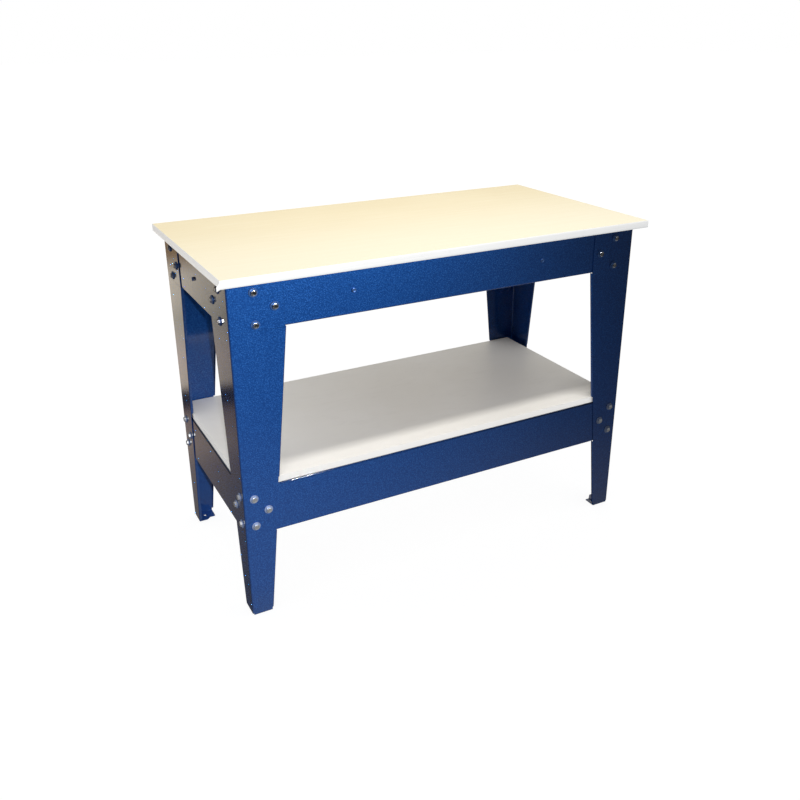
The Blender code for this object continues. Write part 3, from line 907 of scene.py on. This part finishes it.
def build_top():
    thick = TY + core_lo.y
    lam = slab("laminate_sheet", (lam_lo.x - GAP, lam_hi.x + GAP),
               (lam_lo.y - GAP, lam_hi.y + GAP), (lam_lo.z, lam_hi.z))
    soften(lam, 0.00025)
    bake_mods(lam)
    smooth(lam)
    finish_piece(lam, CREAM, "cream_laminate", "top_laminate")

    n = 24
    for name, sy in (("front", -1), ("back", 1)):
        path = [((-TX + 2 * TX * i / n, sy * TY, 0), 0.0, 0.0, 1.0) for i in range(n + 1)]
        if name == "front":
            # the untrimmed tail of the banding, sprung loose past the corner
            tail = [((-TX - 0.0085, sy * TY, 0), 0.0036, -0.0022, 0.50),
                    ((-TX - 0.0070, sy * TY, 0), 0.0032, -0.0016, 0.56),
                    ((-TX - 0.0040, sy * TY, 0), 0.0020, -0.0007, 0.62),
                    ((-TX - 0.0008, sy * TY, 0), 0.0008, -0.0001, 0.74),
                    ((-TX + 0.0010, sy * TY, 0), 0.0002, 0.0, 1.0)]
            path = tail + [((-TX + 0.012, sy * TY, 0), 0.0, 0.0, 1.0)] + path[1:]
        ob = band_strip("edging_" + name, path, Vector((0, -sy, 0)), TOP_Z, HEIGHT,
                        thick - GAP, BAND_BULGE)
        finish_piece(ob, WHITE, "white_edge_band", "edge_band_" + name)
    y0, y1 = side_band_lo.y, side_band_hi.y
    for name, sx in (("left", -1), ("right", 1)):
        path = [((sx * TX, y0 + (y1 - y0) * i / n, 0), 0.0, 0.0, 1.0) for i in range(n + 1)]
        ob = band_strip("edging_" + name, path, Vector((-sx, 0, 0)), TOP_Z, HEIGHT,
                        thick - GAP, BAND_BULGE)
        finish_piece(ob, WHITE, "white_edge_band", "edge_band_" + name)


def build_shelf():
    ob = slab("shelf_panel", (shelf_lo.x, shelf_hi.x), (shelf_lo.y, shelf_hi.y),
              (shelf_lo.z, shelf_hi.z), 0.005)
    rods = [(lambda p, q, d: Vector((p, q, d)), (ex * SHELF_SCREW_X, fy * (HY - SHELF_SCREW_B)),
             shelf_lo.z - 0.002, shelf_lo.z + SCREW_BITE + 0.0006, SCREW_HOLE_R)
            for ex in (-1, 1) for fy in (-1, 1)]
    cut_holes(ob, rods)
    soften(ob, 0.0008, 3)
    bake_mods(ob)
    smooth(ob)
    finish_piece(ob, MELAMINE, "grey_white_melamine", "shelf_board")


rng = random.Random(11)
for corner_name, signs in CORNERS.items():
    build_leg(corner_name, *signs)
for side_name in SIDES:
    build_channel("apron", side_name, APRON_Z0, FRAME_Z, False)
    build_channel("rail", side_name, RAIL_Z0, RAIL_Z1, True)
build_bolts(rng)
build_brackets(rng)
build_screws(rng)
build_top()
build_shelf()
core = frame["nodes"]["tabletop_core"]
core.data.materials.clear()
core.data.materials.append(CHIPBOARD)


# ---- floor, lights, world --------------------------------------------------
def build_floor():
    bm = bmesh.new()
    bm.faces.new([bm.verts.new((x * FLOOR_HALF, y * FLOOR_HALF, -FLOOR_DROP))
                  for x, y in ((-1, -1), (1, -1), (1, 1), (-1, 1))])
    floor = object_from("floor", bm)
    mat = bpy.data.materials.new("studio_floor")
    mat.use_nodes = True
    mat.node_tree.nodes.clear()
    n = Nodes(mat.node_tree)
    diffuse = n.add("ShaderNodeBsdfDiffuse", Color=(0.20, 0.20, 0.20, 1))
    glow = n.add("ShaderNodeEmission", Color=(1, 1, 1, 1), Strength=0.905)
    total = n.add("ShaderNodeAddShader", in0=diffuse, in1=glow)
    out = mat.node_tree.nodes.new("ShaderNodeOutputMaterial")
    mat.node_tree.links.new(total, out.inputs[0])
    mat.cycles.emission_sampling = "NONE"
    floor.data.materials.append(mat)
    floor.visible_glossy = False
    floor.visible_diffuse = False


def lit_gain(n, lit):
    """Brightness of the wall, rising past one where it is best lit."""
    return n.math("MAXIMUM", lit, 1.0)


def grey(v):
    return (v, v, v, 1)


def build_world():
    world = bpy.data.worlds.new("studio")
    scene.world = world
    world.use_nodes = True
    world.node_tree.nodes.clear()
    n = Nodes(world.node_tree)
    coord = world.node_tree.nodes.new("ShaderNodeTexCoord")
    axes = world.node_tree.nodes.new("ShaderNodeSeparateXYZ")
    world.node_tree.links.new(coord.outputs["Generated"], axes.inputs[0])
    x, y, z = axes.outputs
    low, high = -0.70, 0.50

    def at(elevation, colour):
        return ((math.sin(math.radians(elevation)) - low) / (high - low), colour)
    # behind the table: a beige wall over a dark skirting and a brown floor
    wall = n.ramp(n.span(z, low, high), (
        at(-36, (0.140, 0.135, 0.140)),
        at(-29.8, (0.280, 0.240, 0.210)),
        at(-28.1, (0.340, 0.275, 0.240)),
        at(-26.7, (0.520, 0.410, 0.330)),
        at(-24.7, (0.400, 0.300, 0.255)),
        at(-24.0, (0.055, 0.046, 0.042)),
        at(-23.3, (0.055, 0.046, 0.042)),
        at(-22.7, (1.050, 0.900, 0.740)),
        at(-21.0, (1.150, 0.960, 0.830)),
        at(-18.4, (0.980, 0.900, 0.740)),
        at(-17.2, (1.250, 1.120, 0.930)),
        at(-15.6, (1.380, 1.230, 1.030)),
        at(-14.2, (0.560, 0.370, 0.210)),
        at(0.0, (0.750, 0.700, 0.580)),
        at(25.0, (0.800, 0.730, 0.560))))
    flat = n.math("SQRT", n.math("ADD", n.math("MULTIPLY", x, x), n.math("MULTIPLY", y, y)))
    swing = n.math("DIVIDE", x, n.math("MAXIMUM", flat, 0.001))   # sine of the azimuth
    lit = n.span(swing, -0.42, -0.12, 0.0, 1.27, smooth=True)
    up = n.span(z, 0.25, 0.50, 0.0, 1.0, smooth=True)
    wall = n.mix(n.math("MAXIMUM", lit, up, clamp=True), (0.015, 0.015, 0.017, 1), wall)
    wall = n.mix(1.0, wall, n.add("ShaderNodeCombineXYZ", X=lit_gain(n, lit), Y=lit_gain(n, lit),
                                  Z=lit_gain(n, lit)), "MULTIPLY")
    front = n.ramp(n.span(z, low, high), (
        at(-42, (0.46, 0.46, 0.46)), at(-36, (0.45, 0.45, 0.45)), at(-31, (0.34, 0.34, 0.34)),
        at(-28, (0.22, 0.22, 0.22)), at(-25, (0.07, 0.07, 0.07)), at(-20, (0.012, 0.012, 0.012)),
        at(10, (0.010, 0.010, 0.010)), at(29, (0.06, 0.06, 0.06))))
    haze = n.math("MULTIPLY", n.span(swing, 0.42, 0.60, 0.0, 0.085, smooth=True),
                  n.span(swing, 0.72, 0.85, 1.0, 0.0, smooth=True))
    front = n.mix(haze, front, (1, 1, 1, 1), "ADD")
    side = n.math("MULTIPLY", n.span(x, -0.80, -0.95, 0.0, 1.0, smooth=True), 0.8)
    front = n.mix(side, front, (0.62, 0.57, 0.66, 1))
    wall = n.mix(side, wall, (0.62, 0.57, 0.66, 1))
    shiny = n.mix(n.span(y, -0.10, 0.25, 0.0, 1.0, smooth=True), front, wall)
    soft = n.ramp(n.span(z, -1.0, 1.0), ((0.0, grey(0.50)), (0.40, grey(0.86)),
                                         (0.55, grey(1.32)), (0.72, grey(0.75)),
                                         (1.0, grey(0.36))))
    path = world.node_tree.nodes.new("ShaderNodeLightPath")
    colour = n.mix(path.outputs["Is Glossy Ray"], soft, shiny)
    colour = n.mix(path.outputs["Is Camera Ray"], colour, (1, 1, 1, 1))
    back = n.add("ShaderNodeBackground", Color=colour, Strength=1.0)
    out = world.node_tree.nodes.new("ShaderNodeOutputWorld")
    world.node_tree.links.new(back, out.inputs[0])
    world.cycles.sampling_method = "NONE"


def aim(ob, target):
    ob.rotation_mode = "QUATERNION"
    ob.rotation_quaternion = (Vector(target) - ob.location).to_track_quat("-Z", "Y")


def add_light(name, kind, energy, location, target, **settings):
    data = bpy.data.lights.new(name, kind)
    data.energy = energy
    for key, value in settings.items():
        setattr(data, key, value)
    ob = bpy.data.objects.new(name, data)
    ob.location = location
    scene.collection.objects.link(ob)
    aim(ob, target)
    return ob


# camera: eye height of a person a step back from the table's left end
CAM_AT = Vector((-1.0891, -2.0555, 1.4380))
YAW, PITCH, ROLL = 28.384, 22.280, -0.130
FOCAL, SENSOR = 38.353, 36.0
SHIFT_X, SHIFT_Y = -0.01105, -0.04265
FLASH_RIGHT, FLASH_UP = 0.060, 0.065        # the flash, beside the lens


def camera_axes():
    yaw, pitch, roll = (math.radians(v) for v in (YAW, PITCH, ROLL))
    forward = Vector((math.sin(yaw) * math.cos(pitch), math.cos(yaw) * math.cos(pitch),
                      -math.sin(pitch)))
    right = Vector((math.cos(yaw), -math.sin(yaw), 0))
    up = right.cross(forward)
    r = right * math.cos(roll) + up * math.sin(roll)
    u = up * math.cos(roll) - right * math.sin(roll)
    return r, u, forward


def build_camera():
    r, u, f = camera_axes()
    data = bpy.data.cameras.new("camera")
    data.sensor_width = SENSOR
    data.lens = FOCAL
    data.shift_x = SHIFT_X
    data.shift_y = SHIFT_Y
    data.clip_end = 100.0
    ob = bpy.data.objects.new("camera", data)
    ob.matrix_world = Matrix.Translation(CAM_AT) @ Matrix((r, u, -f)).transposed().to_4x4()
    scene.collection.objects.link(ob)
    scene.camera = ob


def receivers(name, mats, *words):
    """The pieces with these finishes, for a light that is set for them alone."""
    coll = bpy.data.collections.new(name)
    for ob in list(COLL.objects) + list(frame["nodes"].values()):
        if words and not any(word in ob.name for word in words):
            continue
        if any(mat in mats for mat in ob.data.materials):
            coll.objects.link(ob)
    return coll


def lit_by(light, coll):
    light.light_linking.receiver_collection = coll


def build_lights():
    r, u, _ = camera_axes()
    metal = (PAINT, ZINC, ZINC_SHEET)
    steel = receivers("lit_steel", metal)
    front = receivers("lit_front", metal, "front")
    wood = receivers("lit_wood", (CREAM, WHITE, MELAMINE, CHIPBOARD))
    shelf = receivers("lit_shelf", (MELAMINE,))
    bands = receivers("lit_bands", (WHITE,))
    boards = receivers("lit_boards", (WHITE, MELAMINE, CHIPBOARD))
    at = CAM_AT + r * FLASH_RIGHT + u * FLASH_UP
    lit_by(add_light("flash_steel", "SPOT", 347.0, at, (-0.901, -0.275, -0.271),
                     spot_size=math.radians(66.5), spot_blend=1.0, shadow_soft_size=0.009),
           steel)
    lit_by(add_light("front_fill", "SPOT", 242.0, (0.30, -2.25, 1.50), (-1.063, -0.275, 0.472),
                     spot_size=math.radians(88.6), spot_blend=1.0, shadow_soft_size=0.05),
           front)
    lit_by(add_light("flash_boards", "SPOT", 60.0, at, (-0.62, -0.275, 0.45),
                     spot_size=math.radians(75), spot_blend=1.0, shadow_soft_size=0.012),
           boards)
    ob = add_light("shelf_light", "AREA", 0.42, (-0.53, 0.04, 0.765), (-0.53, 0.0401, 0.39),
                   shape="RECTANGLE", size=0.09, size_y=0.46)
    ob.visible_camera = False
    ob.visible_glossy = False
    lit_by(ob, shelf)
    ob = add_light("band_light", "AREA", 2.0, (-1.90, 0.20, 1.10), (-0.60, 0.0, 0.90),
                   shape="RECTANGLE", size=0.8, size_y=0.5)
    ob.data.color = (1.0, 0.93, 0.82)
    lit_by(ob, bands)
    ob = add_light("overhead", "AREA", 39.0, (0.0, -0.725, 2.90), (0.0, -0.30, 0.90),
                   shape="RECTANGLE", size=1.6, size_y=0.18)
    ob.data.color = (1.0, 0.965, 0.89)
    lit_by(ob, wood)


scene.view_settings.view_transform = "Standard"
scene.view_settings.look = "None"
build_floor()
build_world()
build_lights()
build_camera()
